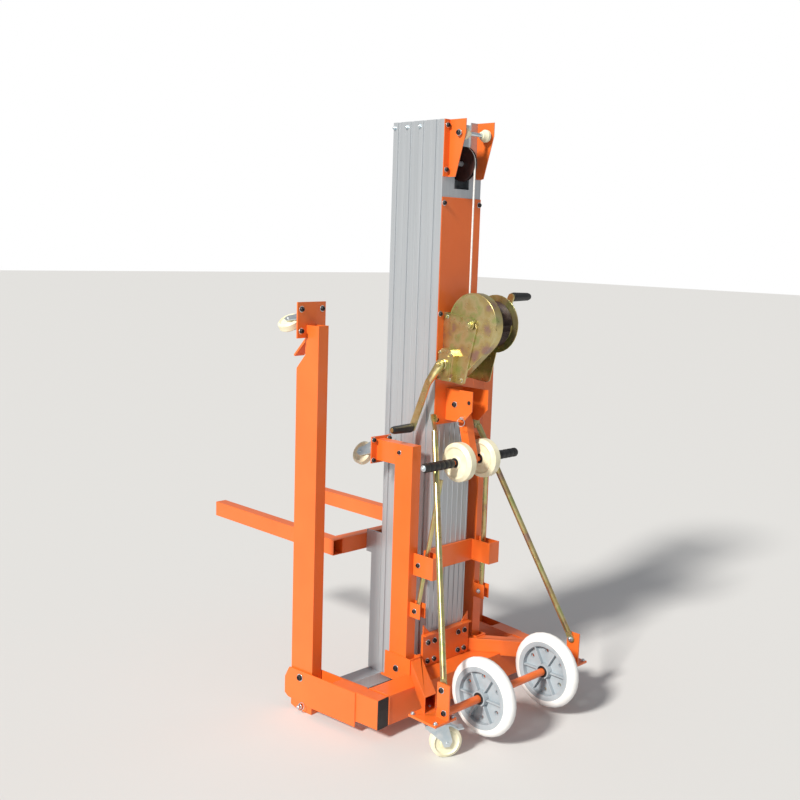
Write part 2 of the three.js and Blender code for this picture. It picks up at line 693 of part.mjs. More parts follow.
// Stabiliser upright with its stub, lower rod bracket and stay rod
function buildStabilisers() {
  const { inner, outer, rear, front, bottom, top, pivotY, pivotZ } = STAB;
  const stub = { end: 167, bottom: 838, plate: 4 };
  const middle = (inner + outer) / 2;
  const upright = box([inner, outer], [rear, front], [bottom, top]);
  const hollow = box([inner + WALL, outer - WALL], [rear + WALL, front - WALL], [190, top - WALL]);
  const arm = box([inner, outer], [front - 1, stub.end], [stub.bottom, top]);
  const stubRoom = [stub.bottom + WALL, top - WALL];
  const armHollow = box([inner + WALL, outer - WALL], [front - 10, stub.end + 1], stubRoom);
  const bore = rod([inner - 1, pivotY, pivotZ], [outer + 1, pivotY, pivotZ], 8 + GAP);
  const faceHeights = [stub.bottom - 10, top + 10];
  const facePlate = box([middle - 45, middle + 45], [stub.end, stub.end + stub.plate], faceHeights);
  const vent = rod([inner - 1, 60, 880], [inner + 5, 60, 880], 5, 12);
  const cheekDepth = [-45, rear + 1];
  const cheeks = [
    box([inner, inner + WALL], cheekDepth, [335, 385]),
    box([outer - WALL * 5, outer - WALL * 4], cheekDepth, [335, 385]),
  ];
  const rodPin = rod([inner, STAY.lowY, STAY.lowZ], [outer - WALL * 4, STAY.lowY, STAY.lowZ], 4, 12);
  const solid = join(cut(join(upright, arm), hollow, armHollow, bore, vent), facePlate, ...cheeks, rodPin);
  const low = [STAY.lowX, STAY.lowY, STAY.lowZ];
  const high = [STAY.topX, STAY.topY, STAY.topZ];
  const reachDown = 10 / (STAY.topZ - STAY.lowZ);
  const foot = low.map((value, i) => value - (high[i] - value) * reachDown);
  const stay = cut(
    rod(foot, high, STAY.radius, 14),
    rod([inner - 5, STAY.lowY, STAY.lowZ], [outer, STAY.lowY, STAY.lowZ], 4 + GAP, 12),
  );
  for (const [side, sign] of Object.entries(SIDES)) {
    const turn = sign < 0 ? (piece) => piece.mirror([1, 0, 0]) : (piece) => piece;
    place(`stabiliser_${side}`, turn(solid), orangePaint);
    place(`stay_rod_${side}`, turn(stay), yellowZinc);
    buildCaster(`stabiliser_caster_${side}`, CASTER.folding, floorGroup, {
      x: sign * middle,
      y: stub.end + stub.plate,
      z: (stub.bottom + top) / 2,
      heading: sign * FOLDED_HEADING * 0.5,
      folded: true,
    });
  }
}

// Crossbar behind the mast whose end clips hold the stay rods; the clips open forwards
function buildClipCrossbar() {
  const heights = [477, 551];
  const barRear = -9;
  const clip = { inner: 115, outer: 166, rear: -88 };
  const depth = [clip.rear, -GAP];
  const barHalf = clip.inner + WALL;
  const pieces = [box([-barHalf, barHalf], [barRear, -GAP], heights)];
  for (const sign of Object.values(SIDES)) {
    const innerX = spanX(sign, clip.inner, clip.inner + WALL);
    const outerX = spanX(sign, clip.outer - WALL, clip.outer);
    pieces.push(box(innerX, depth, heights));
    pieces.push(box(outerX, depth, heights));
    pieces.push(box(spanX(sign, clip.inner, clip.outer), [clip.rear, clip.rear + WALL], heights));
  }
  place('clip_crossbar', join(...pieces), orangePaint);
}

// Loading wheels on the back of the mast
function buildLoader() {
  const { pivotY, pivotZ, axleY, axleZ, wheel, wheelX, axleRadius, reach } = LOADER;
  const cheek = shapeOf([
    [-3.6, 985],
    [-3.6, 1090],
    [-118, 1090],
    [-118, 1025],
    [-80, 985],
  ]);
  const bracketHalf = 40;
  const bracket = join(
    alongX(cheek, -bracketHalf, -bracketHalf + WALL),
    alongX(cheek, bracketHalf - WALL, bracketHalf),
    box([-bracketHalf, bracketHalf], [-6.6, -3.6], [985, 1090]),
    rod([-bracketHalf, pivotY, pivotZ], [bracketHalf, pivotY, pivotZ], 6, 16),
  );
  place('loading_bracket', bracket, orangePaint);
  const armHalf = 16;
  const along = new THREE.Vector2(axleY - pivotY, axleZ - pivotZ).normalize();
  const across = [along.y * armHalf, -along.x * armHalf];
  const outline = shapeOf([
    [pivotY - across[0], pivotZ - across[1]],
    [axleY - across[0], axleZ - across[1]],
    [axleY + across[0], axleZ + across[1]],
    [pivotY + across[0], pivotZ + across[1]],
  ].reverse());
  const bar = join(
    alongX(outline, -armHalf, armHalf),
    rod([-armHalf, pivotY, pivotZ], [armHalf, pivotY, pivotZ], armHalf),
    rod([-armHalf, axleY, axleZ], [armHalf, axleY, axleZ], armHalf),
  );
  const pivotBore = rod([-50, pivotY, pivotZ], [50, pivotY, pivotZ], 6 + GAP, 16);
  const axle = rod([-reach, axleY, axleZ], [reach, axleY, axleZ], axleRadius);
  place('loading_arm', join(cut(bar, pivotBore), axle), orangePaint);
  const halfTread = 22;
  const wheelSolid = turned([
    [-halfTread, axleRadius + GAP],
    [-halfTread, 20],
    [-halfTread + 4, 24],
    [-halfTread + 4, 46],
    [-halfTread, 52],
    [-halfTread + 10, wheel],
    [halfTread - 10, wheel],
    [halfTread, 52],
    [halfTread - 4, 46],
    [halfTread - 4, 24],
    [halfTread, 20],
    [halfTread, axleRadius + GAP],
  ], 28);
  const gripStart = 93;
  const ribs = 6;
  const ribStep = (reach - gripStart) / ribs;
  const gripProfile = [[0, axleRadius + GAP]];
  for (let i = 0; i < ribs; i += 1) {
    const start = i * ribStep;
    gripProfile.push([start, 13], [start + ribStep * 0.3, 15.5], [start + ribStep * 0.8, 15.5]);
  }
  gripProfile.push([ribs * ribStep, 13], [ribs * ribStep, axleRadius + GAP]);
  const grip = turned(gripProfile, 14);
  for (const [side, sign] of Object.entries(SIDES)) {
    place(`loading_wheel_${side}`, wheelSolid, nylon).position.set(sign * wheelX, axleY, axleZ);
    const mesh = place(`loading_grip_${side}`, grip, blackPlastic);
    mesh.position.set(sign * gripStart, axleY, axleZ);
    mesh.rotation.z = sign < 0 ? Math.PI : 0;
  }
}

// Carriage on the front section with the fork frame
function buildForks() {
  const front = MAST.depth * 4;
  const column = { rear: front + GAP, front: 278, top: 490 };
  const half = MAST.halfWidth;
  const { rear, tip, bottom, top, half: barHalf, width } = FORK;
  const inside = [column.rear + WALL, column.front - WALL];
  const body = cut(
    box([-half, half], [column.rear, column.front], [MAST.bottom, column.top]),
    box([-half + WALL, half - WALL], inside, [MAST.bottom - 1, column.top + 1]),
  );
  const lugZ = [475, 555];
  const lugY = [column.rear, rear - GAP];
  const lugs = [box([-half, -half + 5], lugY, lugZ), box([half - 5, half], lugY, lugZ)];
  const tieZ = [485, 490];
  const tie = box([-half, half], [column.front - 5, rear - GAP], tieZ);
  place('fork_carriage', join(body, ...lugs, tie), aluminium);
  const bar = cut(
    box([-barHalf, barHalf], [rear, rear + 40], [bottom, top]),
    box([-barHalf - 1, barHalf + 1], [rear + WALL, rear + 40 - WALL], [bottom + WALL, top - WALL]),
  );
  place('fork_crossbar', bar, orangePaint);
  for (const [side, sign] of Object.entries(SIDES)) {
    const x = spanX(sign, barHalf + GAP, barHalf + GAP + width);
    const prong = cut(
      box(x, [rear, tip], [bottom, top]),
      box([x[0] + WALL, x[1] - WALL], [rear - 1, tip - WALL], [bottom + WALL, top - WALL]),
    );
    place(`fork_${side}`, prong, orangePaint);
  }
}

// Large transport wheel: rounded tyre, recessed web with windows, ribs and a bored boss
function buildTransportWheels() {
  const tyre = 127;
  const rim = 90;
  const half = 22;
  const boss = 24;
  const bore = AXLE.radius + GAP;
  const tread = [];
  const treadSteps = 6;
  for (let i = 0; i <= treadSteps; i += 1) {
    const angle = Math.PI - (Math.PI * i) / treadSteps;
    tread.push([half * Math.cos(angle), tyre - half + half * Math.sin(angle)]);
  }
  const ringAndBoss = turned([
    [-half - 2, bore],
    [-half - 2, boss],
    [-4, boss + 2],
    [-4, rim - 8],
    [-half + 2, rim - 6],
    [-half, rim],
    ...tread,
    [half, rim],
    [half - 2, rim - 6],
    [4, rim - 8],
    [4, boss + 2],
    [half + 2, boss],
    [half + 2, bore],
  ], 32);
  const ribs = 6;
  let wheel = ringAndBoss;
  for (let i = 0; i < ribs; i += 1) {
    const angle = (i * Math.PI * 2) / ribs;
    const rib = new THREE.BoxGeometry(half * 1.5, rim - 8 - boss, 5);
    rib.translate(0, (rim - 8 + boss + 4) / 2, 0);
    rib.rotateX(angle);
    wheel = wheel.add(solidOf(rib));
    const slot = new THREE.CylinderGeometry(9, 5, 20, 12);
    slot.rotateZ(Math.PI / 2);
    slot.translate(0, (boss + rim) / 2 + 10, 0);
    slot.rotateX(angle + Math.PI / ribs);
    wheel = wheel.subtract(solidOf(slot));
  }
  const centres = { near: -150, far: 174 };
  for (const side of Object.keys(SIDES)) {
    place(`transport_wheel_${side}`, wheel, tyreWhite).position.set(centres[side], AXLE.y, AXLE.z);
  }
}

buildMast();
buildMastHead();
buildCable();
buildWinch();
buildCrank();
buildCrossTube();
buildFrontArms();
buildRearArms();
buildFootAndTie();
buildBraces();
buildLegs();
buildStabilisers();
buildClipCrossbar();
buildLoader();
buildForks();
buildTransportWheels();
for (const [side, sign] of Object.entries(SIDES)) {
  const seat = { x: sign * 335, y: -272, z: 126, heading: REAR_HEADING[side] };
  buildCaster(`rear_caster_${side}`, CASTER.rear, floorGroup, seat);
}

export default lift;
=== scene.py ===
"""Looks for the drywall lift: painted steel base, aluminium mast, zinc-plated winch and nylon wheels.

Metres. Positions are given from the mast: x from its middle, y from its rear face, z from the floor.
"""

import json
import math

import bmesh
import bpy
from mathutils import Matrix, Vector


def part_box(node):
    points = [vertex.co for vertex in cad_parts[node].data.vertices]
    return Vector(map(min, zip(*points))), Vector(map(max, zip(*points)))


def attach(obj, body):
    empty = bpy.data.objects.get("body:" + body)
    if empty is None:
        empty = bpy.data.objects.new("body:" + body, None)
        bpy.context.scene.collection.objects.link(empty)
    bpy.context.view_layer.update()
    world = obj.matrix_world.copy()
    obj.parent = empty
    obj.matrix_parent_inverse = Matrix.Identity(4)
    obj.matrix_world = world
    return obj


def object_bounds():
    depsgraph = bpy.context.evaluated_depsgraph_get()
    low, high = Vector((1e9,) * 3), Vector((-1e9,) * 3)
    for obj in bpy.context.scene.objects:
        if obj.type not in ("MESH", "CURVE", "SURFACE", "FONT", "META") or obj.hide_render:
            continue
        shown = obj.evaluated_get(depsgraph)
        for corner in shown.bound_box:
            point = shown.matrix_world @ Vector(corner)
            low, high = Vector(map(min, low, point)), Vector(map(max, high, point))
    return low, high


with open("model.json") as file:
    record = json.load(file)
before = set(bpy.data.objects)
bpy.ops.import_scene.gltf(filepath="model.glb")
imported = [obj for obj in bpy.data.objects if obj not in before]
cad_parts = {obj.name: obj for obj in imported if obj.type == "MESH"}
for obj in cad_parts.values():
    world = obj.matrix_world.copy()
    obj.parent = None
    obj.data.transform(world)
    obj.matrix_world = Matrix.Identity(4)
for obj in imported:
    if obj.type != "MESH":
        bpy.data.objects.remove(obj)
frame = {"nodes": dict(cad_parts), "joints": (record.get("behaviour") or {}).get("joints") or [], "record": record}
cad_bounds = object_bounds()

MM = 0.001
MAST_REAR_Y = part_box("rear_cover")[1].y + 0.3 * MM
JOINTS = {joint["name"]: joint for joint in frame["joints"]}
SIDES = {"near": -1, "far": 1}
DRUM_CENTRE = (-125, 1308)
CRANK_CENTRE = (-30, 1175)
HUB_RADIUS = 100
WELD_DISTANCE = 0.02
PAINTED_EDGE = 1.6
PLAIN_EDGE = 0.7
SHARP_ANGLE = math.radians(31)


def place(x, y, z):
    """A point given in millimetres from the mast's rear face, in the row frame."""
    return Vector((x * MM, MAST_REAR_Y + y * MM, z * MM))


def box_middle(node):
    low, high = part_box(node)
    return (low + high) / 2


# ---------------------------------------------------------------- camera and light


def add_camera():
    right = Vector((0.7096, -0.7039, 0.0311))
    up = Vector((0.0811, 0.1254, 0.9887))
    forward = Vector((0.6999, 0.6991, -0.1461))
    data = bpy.data.cameras.new("camera")
    data.sensor_width = 36
    data.lens = 47.25
    data.clip_end = 200
    camera = bpy.data.objects.new("camera", data)
    turn = Matrix((right, up, -forward)).transposed().to_4x4()
    camera.matrix_world = Matrix.Translation(place(-2573.3, -2318.9, 1551.3)) @ turn
    bpy.context.scene.collection.objects.link(camera)
    bpy.context.scene.camera = camera


def add_key_light(origin, strength, angle, colour):
    data = bpy.data.lights.new("key", "SUN")
    data.energy = strength
    data.angle = math.radians(angle)
    data.color = colour
    lamp = bpy.data.objects.new("key", data)
    lamp.location = origin
    lamp.rotation_euler = (-Vector(origin)).to_track_quat("-Z", "Y").to_euler()
    bpy.context.scene.collection.objects.link(lamp)


def add_studio():
    world = bpy.data.worlds.new("studio")
    world.use_nodes = True
    nodes, links = world.node_tree.nodes, world.node_tree.links
    ambient = nodes["Background"]
    ambient.inputs["Color"].default_value = (0.95, 0.97, 1, 1)
    ambient.inputs["Strength"].default_value = 0.36
    backdrop = nodes.new("ShaderNodeBackground")
    backdrop.inputs["Color"].default_value = (1, 1, 1, 1)
    choose = nodes.new("ShaderNodeMixShader")
    links.new(nodes.new("ShaderNodeLightPath").outputs["Is Camera Ray"], choose.inputs["Fac"])
    links.new(ambient.outputs["Background"], choose.inputs[1])
    links.new(backdrop.outputs["Background"], choose.inputs[2])
    links.new(choose.outputs["Shader"], nodes["World Output"].inputs["Surface"])
    scene = bpy.context.scene
    scene.world = world
    scene.view_settings.view_transform = "Standard"
    add_key_light((-4, -0.5, 2.9), 4.2, 9, (1, 0.965, 0.9))
    mesh = bpy.data.meshes.new("floor")
    span = 40
    corners = [(-span, -span, 0), (span, -span, 0), (span, span, 0), (-span, span, 0)]
    mesh.from_pydata(corners, [], [(0, 1, 2, 3)])
    floor = bpy.data.objects.new("floor", mesh)
    floor.location.z = cad_bounds[0][2] - 0.5 * MM
    bpy.context.scene.collection.objects.link(floor)
    material = bpy.data.materials.new("floor")
    material.use_nodes = True
    shader = material.node_tree.nodes["Principled BSDF"]
    shader.inputs["Base Color"].default_value = (0.7, 0.7, 0.7, 1)
    shader.inputs["Roughness"].default_value = 0.9
    mesh.materials.append(material)


# ---------------------------------------------------------------- materials


class Recipe:
    """A small helper that wires a Principled material from procedural nodes."""

    def __init__(self, name, roughness, metallic=0.0, coat=0.0):
        self.material = bpy.data.materials.new(name)
        self.material.use_nodes = True
        self.tree = self.material.node_tree
        self.shader = self.tree.nodes["Principled BSDF"]
        self.shader.inputs["Roughness"].default_value = roughness
        self.shader.inputs["Metallic"].default_value = metallic
        self.shader.inputs["Coat Weight"].default_value = coat
        self.coordinates = self.tree.nodes.new("ShaderNodeTexCoord").outputs["Object"]

    def stretched(self, scale):
        mapping = self.tree.nodes.new("ShaderNodeMapping")
        mapping.inputs["Scale"].default_value = scale
        self.tree.links.new(self.coordinates, mapping.inputs["Vector"])
        return mapping.outputs["Vector"]

    def noise(self, scale, detail=4.0, vector=None):
        node = self.tree.nodes.new("ShaderNodeTexNoise")
        node.inputs["Scale"].default_value = scale
        node.inputs["Detail"].default_value = detail
        self.tree.links.new(vector or self.coordinates, node.inputs["Vector"])
        return node.outputs["Fac"]

    def ramp(self, source, stops):
        node = self.tree.nodes.new("ShaderNodeValToRGB")
        elements = node.color_ramp.elements
        while len(elements) < len(stops):
            elements.new(0.5)
        for element, (position, colour) in zip(elements, stops):
            element.position = position
            element.color = (*colour, 1)
        self.tree.links.new(source, node.inputs["Fac"])
        return node.outputs["Color"]

    def colour(self, socket):
        self.tree.links.new(socket, self.shader.inputs["Base Color"])

    def rough(self, source, low, high):
        node = self.tree.nodes.new("ShaderNodeMapRange")
        node.inputs["To Min"].default_value = low
        node.inputs["To Max"].default_value = high
        self.tree.links.new(source, node.inputs["Value"])
        self.tree.links.new(node.outputs["Result"], self.shader.inputs["Roughness"])

    def bump(self, source, strength, distance=0.0005):
        node = self.tree.nodes.new("ShaderNodeBump")
        node.inputs["Strength"].default_value = strength
        node.inputs["Distance"].default_value = distance
        self.tree.links.new(source, node.inputs["Height"])
        self.tree.links.new(node.outputs["Normal"], self.shader.inputs["Normal"])

    def compute(self, operation, first, second):
        """A Math node on a socket and either a second socket or a number."""
        node = self.tree.nodes.new("ShaderNodeMath")
        node.operation = operation
        self.tree.links.new(first, node.inputs[0])
        if isinstance(second, (int, float)):
            node.inputs[1].default_value = second
        else:
            self.tree.links.new(second, node.inputs[1])
        return node.outputs[0]

    def mix(self, factor, first, second):
        node = self.tree.nodes.new("ShaderNodeMix")
        node.data_type = "RGBA"
        self.tree.links.new(factor, node.inputs["Factor"])
        self.tree.links.new(first, node.inputs["A"])
        self.tree.links.new(second, node.inputs["B"])
        return node.outputs["Result"]


def orange_paint():
    recipe = Recipe("orange_paint", 0.38, coat=0.25)
    cloud = recipe.noise(6)
    recipe.colour(recipe.ramp(cloud, [(0.3, (0.80, 0.145, 0.02)), (0.7, (0.86, 0.17, 0.026))]))
    recipe.rough(recipe.noise(35), 0.3, 0.46)
    recipe.bump(recipe.noise(420, 2), 0.12)
    return recipe.material


def aluminium():
    recipe = Recipe("aluminium", 0.4, metallic=0.55)
    streaks = recipe.noise(1, 6, recipe.stretched((180, 180, 1.5)))
    recipe.colour(recipe.ramp(streaks, [(0.25, (0.47, 0.50, 0.53)), (0.75, (0.54, 0.57, 0.60))]))
    recipe.rough(streaks, 0.36, 0.48)
    recipe.bump(streaks, 0.03)
    return recipe.material


def yellow_zinc():
    recipe = Recipe("yellow_zinc", 0.28, metallic=0.9)
    patches = recipe.noise(16, 5)
    stops = [
        (0.32, (0.42, 0.27, 0.21)),
        (0.42, (0.55, 0.44, 0.18)),
        (0.52, (0.62, 0.53, 0.27)),
        (0.62, (0.44, 0.48, 0.18)),
        (0.72, (0.60, 0.44, 0.24)),
    ]
    recipe.colour(recipe.ramp(patches, stops))
    recipe.rough(recipe.noise(60), 0.2, 0.4)
    recipe.bump(recipe.noise(300), 0.05)
    return recipe.material


def blue_zinc():
    recipe = Recipe("blue_zinc", 0.3, metallic=0.9)
    stops = [(0.35, (0.58, 0.68, 0.74)), (0.65, (0.78, 0.82, 0.84))]
    recipe.colour(recipe.ramp(recipe.noise(40), stops))
    recipe.rough(recipe.noise(80), 0.22, 0.42)
    return recipe.material


def plastic(name, low, high, roughness, scale=30, bump=0.1):
    recipe = Recipe(name, roughness)
    recipe.colour(recipe.ramp(recipe.noise(scale), [(0.35, low), (0.65, high)]))
    recipe.rough(recipe.noise(scale * 2), roughness - 0.08, roughness + 0.1)
    recipe.bump(recipe.noise(scale * 12), bump)
    return recipe.material


def wheel_material(name, centre, hub_radius):
    """White tyre outside the hub radius in millimetres, grey hub inside it."""
    recipe = Recipe(name, 0.55)
    split = recipe.tree.nodes.new("ShaderNodeSeparateXYZ")
    recipe.tree.links.new(recipe.coordinates, split.inputs["Vector"])
    squares = []
    for axis, middle in (("Y", centre.y), ("Z", centre.z)):
        offset = recipe.compute("SUBTRACT", split.outputs[axis], middle)
        squares.append(recipe.compute("MULTIPLY", offset, offset))
    total = recipe.compute("ADD", *squares)
    outside = recipe.compute("GREATER_THAN", total, (hub_radius * MM) ** 2)
    hub = recipe.ramp(recipe.noise(25), [(0.3, (0.34, 0.39, 0.43)), (0.7, (0.42, 0.47, 0.51))])
    tyre = recipe.ramp(recipe.noise(18), [(0.3, (0.80, 0.80, 0.79)), (0.7, (0.90, 0.90, 0.89))])
    recipe.colour(recipe.mix(outside, hub, tyre))
    recipe.rough(recipe.noise(50), 0.45, 0.65)
    recipe.bump(recipe.noise(250), 0.08)
    return recipe.material


MATERIALS = {
    "orange_paint": orange_paint(),
    "aluminium": aluminium(),
    "yellow_zinc": yellow_zinc(),
    "blue_zinc": blue_zinc(),
    "nylon": plastic("nylon", (0.80, 0.75, 0.52), (0.88, 0.84, 0.64), 0.35),
    "black_grip": plastic("black_grip", (0.008, 0.008, 0.009), (0.02, 0.02, 0.022), 0.45, 60, 0.3),
    # Besides the dark iron parts, this finish colours the steel cable wound on the drum, as painted shade.
    "dark_iron": plastic("dark_iron", (0.018, 0.008, 0.008), (0.045, 0.015, 0.012), 0.4),
    "cable_steel": plastic("cable_steel", (0.7, 0.7, 0.68), (0.85, 0.85, 0.83), 0.4, 200),
}


def finish_cad_nodes():
    """Gives every CAD piece its material and soft edges."""
    slots = {entry["node"]: entry["material_slot"] for entry in frame["record"]["subparts"]}
    for name, node in frame["nodes"].items():
        mesh = node.data
        if "custom_normal" in mesh.attributes:
            mesh.attributes.remove(mesh.attributes["custom_normal"])
        mesh.shade_smooth()
        slot = slots[name]
        material = MATERIALS.get(slot)
        if slot == "tyre_white":
            material = wheel_material(f"tyre_{name}", box_middle(name), HUB_RADIUS)
        mesh.materials.clear()
        mesh.materials.append(material)
        weld = node.modifiers.new("weld", "WELD")
        weld.merge_threshold = WELD_DISTANCE * MM
        bevel = node.modifiers.new("bevel", "BEVEL")
        bevel.width = (PAINTED_EDGE if slot == "orange_paint" else PLAIN_EDGE) * MM
        bevel.segments = 2
        bevel.limit_method = "ANGLE"
        bevel.angle_limit = SHARP_ANGLE
        bevel.use_clamp_overlap = True
        normals = node.modifiers.new("normals", "WEIGHTED_NORMAL")
        normals.keep_sharp = False


# ---------------------------------------------------------------- fasteners and small pieces


class Kit:
    """Collects small solids of one material on one body, and makes one piece of them."""

    def __init__(self):
        self.meshes = {}

    def mesh(self, name, body, slot):
        return self.meshes.setdefault((name, body, slot), bmesh.new())

    def lathe(self, name, body, slot, profile, position, axis, segments=20, twist=0.0):
        """profile: (radius, height) pairs in millimetres from the base outwards along axis."""
        target = self.mesh(name, body, slot)
        turn = Vector(axis).to_track_quat("Z", "Y").to_matrix().to_4x4()
        matrix = Matrix.Translation(position) @ turn
        rings = []
        for radius, height in profile:
            if radius == 0:
                rings.append([target.verts.new(matrix @ Vector((0, 0, height * MM)))])
                continue
            ring = []
            for i in range(segments):
                angle = twist + 2 * math.pi * i / segments
                local = Vector((radius * math.cos(angle), radius * math.sin(angle), height)) * MM
                ring.append(target.verts.new(matrix @ local))
            rings.append(ring)
        for low, high in zip(rings, rings[1:]):
            for i in range(segments):
                j = (i + 1) % segments
                corners = [
                    low[i % len(low)], low[j % len(low)],
                    high[j % len(high)], high[i % len(high)],
                ]
                unique = list(dict.fromkeys(corners))
                if len(unique) > 2:
                    target.faces.new(unique)
        for ring, flip in ((rings[0], True), (rings[-1], False)):
            if len(ring) > 2:
                target.faces.new(list(reversed(ring)) if flip else ring)

    def ring(self, name, body, slot, centre, axis, radius, thickness, major=24, minor=8):
        """A closed ring of round wire about the axis."""
        target = self.mesh(name, body, slot)
        turn = Vector(axis).to_track_quat("Z", "Y").to_matrix().to_4x4()
        matrix = Matrix.Translation(centre) @ turn
        loops = []
        for i in range(major):
            angle = 2 * math.pi * i / major
            loop = []
            for k in range(minor):
                around = 2 * math.pi * k / minor
                reach = radius + thickness * math.cos(around)
                rise = thickness * math.sin(around)
                local = Vector((reach * math.cos(angle), reach * math.sin(angle), rise))
                loop.append(target.verts.new(matrix @ (local * MM)))
            loops.append(loop)
        for i in range(major):
            for k in range(minor):
                after, beside = (i + 1) % major, (k + 1) % minor
                target.faces.new([loops[i][k], loops[after][k], loops[after][beside], loops[i][beside]])

    def sweep(self, name, body, slot, points, radius, sides=8):
        """A round wire through the given points, closed at both ends."""
        target = self.mesh(name, body, slot)
        loops = []
        for i, point in enumerate(points):
            ahead = points[min(i + 1, len(points) - 1)] - points[max(i - 1, 0)]
            turn = ahead.to_track_quat("Z", "X").to_matrix()
            loop = []
            for k in range(sides):
                angle = 2 * math.pi * k / sides
                local = Vector((math.cos(angle), math.sin(angle), 0)) * radius * MM
                loop.append(target.verts.new(point + turn @ local))
            loops.append(loop)
        for low, high in zip(loops, loops[1:]):
            for k in range(sides):
                beside = (k + 1) % sides
                target.faces.new([low[k], low[beside], high[beside], high[k]])
        target.faces.new(list(reversed(loops[0])))
        target.faces.new(loops[-1])

    def slab(self, name, body, slot, outline, matrix, thickness):
        """A plate of the given outline (millimetres, counter-clockwise) with the given thickness."""
        target = self.mesh(name, body, slot)
        low = [target.verts.new(matrix @ (Vector((a, b, 0)) * MM)) for a, b in outline]
        high = [target.verts.new(matrix @ (Vector((a, b, thickness)) * MM)) for a, b in outline]
        count = len(outline)
        target.faces.new(list(reversed(low)))
        target.faces.new(high)
        for i in range(count):
            j = (i + 1) % count
            target.faces.new([low[i], low[j], high[j], high[i]])

    def finish(self, bevel=0.5):
        """Turns what was collected into objects, each with its slot and its body."""
        for (name, body, slot), source in self.meshes.items():
            bmesh.ops.recalc_face_normals(source, faces=source.faces)
            mesh = bpy.data.meshes.new(name)
            source.to_mesh(mesh)
            source.free()
            mesh.shade_smooth()
            mesh.materials.append(MATERIALS[slot])
            piece = bpy.data.objects.new(name, mesh)
            bpy.context.scene.collection.objects.link(piece)
            modifier = piece.modifiers.new("bevel", "BEVEL")
            modifier.width = bevel * MM
            modifier.segments = 2
            modifier.limit_method = "ANGLE"
            modifier.angle_limit = math.radians(35)
            piece.modifiers.new("normals", "WEIGHTED_NORMAL")
            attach(piece, body)


kit = Kit()
BUTTON_HEAD = [
    (0.78, 0), (0.78, 0.16), (1.0, 0.2), (1.0, 0.5), (0.86, 0.85),
    (0.55, 1.0), (0.5, 0.98), (0.42, 0.55), (0, 0.55),
]
X_AXIS = Vector((1, 0, 0))
Y_AXIS = Vector((0, 1, 0))
Z_AXIS = Vector((0, 0, 1))
WINCH_FACE = Matrix((-Y_AXIS, Z_AXIS, -X_AXIS)).transposed().to_4x4()
REAR_FACE = Matrix((X_AXIS, Z_AXIS, -Y_AXIS)).transposed().to_4x4()


def bolt(body, position, axis, radius=8, height=7, slot="black_grip"):
    """A washer and a domed socket head, seated on the surface at position."""
    washer = [(radius * 1.3, 0), (radius * 1.3, 1.4), (radius * 0.8, 1.6)]
    kit.lathe(f"washers_{body}", body, "blue_zinc", washer, position, axis, 20)
    head = [(r * radius, 1.2 + h * height) for r, h in BUTTON_HEAD]
    kit.lathe(f"bolts_{body}_{slot}", body, slot, head, position, axis, 16)


def nut(body, position, axis, radius=9, height=7, slot="blue_zinc"):
    """A washer, a hexagon nut and the end of its stud."""
    washer = [(radius * 1.35, 0), (radius * 1.35, 1.4), (radius * 0.8, 1.6)]
    kit.lathe(f"nut_washers_{body}", body, slot, washer, position, axis, 20)
    hexagon = [(radius, 1.4), (radius, height), (radius * 0.75, height + 1), (radius * 0.6, height + 1)]
    kit.lathe(f"nuts_{body}", body, slot, hexagon, position, axis, 6)
    stud = [(radius * 0.55, height), (radius * 0.55, height + 3), (radius * 0.4, height + 4)]
    kit.lathe(f"studs_{body}", body, slot, stud, position, axis, 14)


def add_mast_fasteners():
    cover_face, ear_face, foot_face = -3.3, -3.4, -9.4
    shaft = (-48, 1905)
    for sign in SIDES.values():
        for z in (1688, 1335, 988):
            bolt("base", place(sign * 84, cover_face, z), -Y_AXIS, 7)
        for z in (1792, 1930):
            bolt("base", place(sign * 80, ear_face, z), -Y_AXIS, 7)
        bolt("base", place(sign * 76, *shaft), sign * X_AXIS, 8)
        for x in (92, 60):
            for z in (162, 227):
                bolt("base", place(sign * x, foot_face, z), -Y_AXIS, 8)
        for index, body in enumerate(("mast_2", "mast_3", "mast_4"), start=2):
            section_front = index * 57
            nut(body, place(sign * 93, section_front - 7, 1930), sign * X_AXIS, 5.5, 6)


def add_mast_ribs():
    """Shallow ribs of the extrusion, left in view on the mast's rear face below the cover."""
    half, height = 1.6, 2.2
    for x in (-86, -62, -38, -12, 12, 38, 62, 86):
        for low, high in ((262, 473), (555, 968)):
            outline = [(-half, low), (half, low), (half, high), (-half, high)]
            seat = Matrix.Translation(place(x, 0.2, 0)) @ REAR_FACE
            kit.slab("mast_ribs", "base", "aluminium", outline, seat, height)


def bead(name, start, end, radius=2.3, ripple=4):
    """A rippled weld bead along a straight seam."""
    length = (end - start).length / MM
    count = max(int(length / ripple), 3)
    points = []
    for i in range(count + 1):
        lift = 0.5 * MM * math.sin(i * math.pi / 2)
        points.append(start.lerp(end, i / count) + Z_AXIS * lift)
    kit.sweep(name, "base", "orange_paint", points, radius, 6)


def add_welds():
    """Beads where tubes and brackets of the base meet, and the gussets on the foot plate."""
    gusset_size = 34
    for sign in SIDES.values():
        for x in (325.6, 333.4):
            bead("bracket_welds", place(sign * x, -327, 135), place(sign * x, -281, 135))
        bead("arm_welds", place(sign * 356, -95, 143), place(sign * 362, -13, 143))
        bead("arm_welds", place(sign * 355.5, -97.6, 48), place(sign * 355.5, -97.6, 139))
        for x in (144.4, 187.6):
            bead("stabiliser_welds", place(sign * x, -11, 143), place(sign * x, -24, 143))
        bead("rear_arm_welds", place(sign * 186, -25, 188), place(sign * 142, -25, 188))
        gusset = [(0, 0), (sign * gusset_size, 0), (sign * gusset_size, gusset_size)]
        seat = Matrix.Translation(place(sign * 78, -2, 257)) @ REAR_FACE
        if sign < 0:
            gusset.reverse()
        kit.slab("foot_gussets", "base", "orange_paint", gusset, seat, 4)


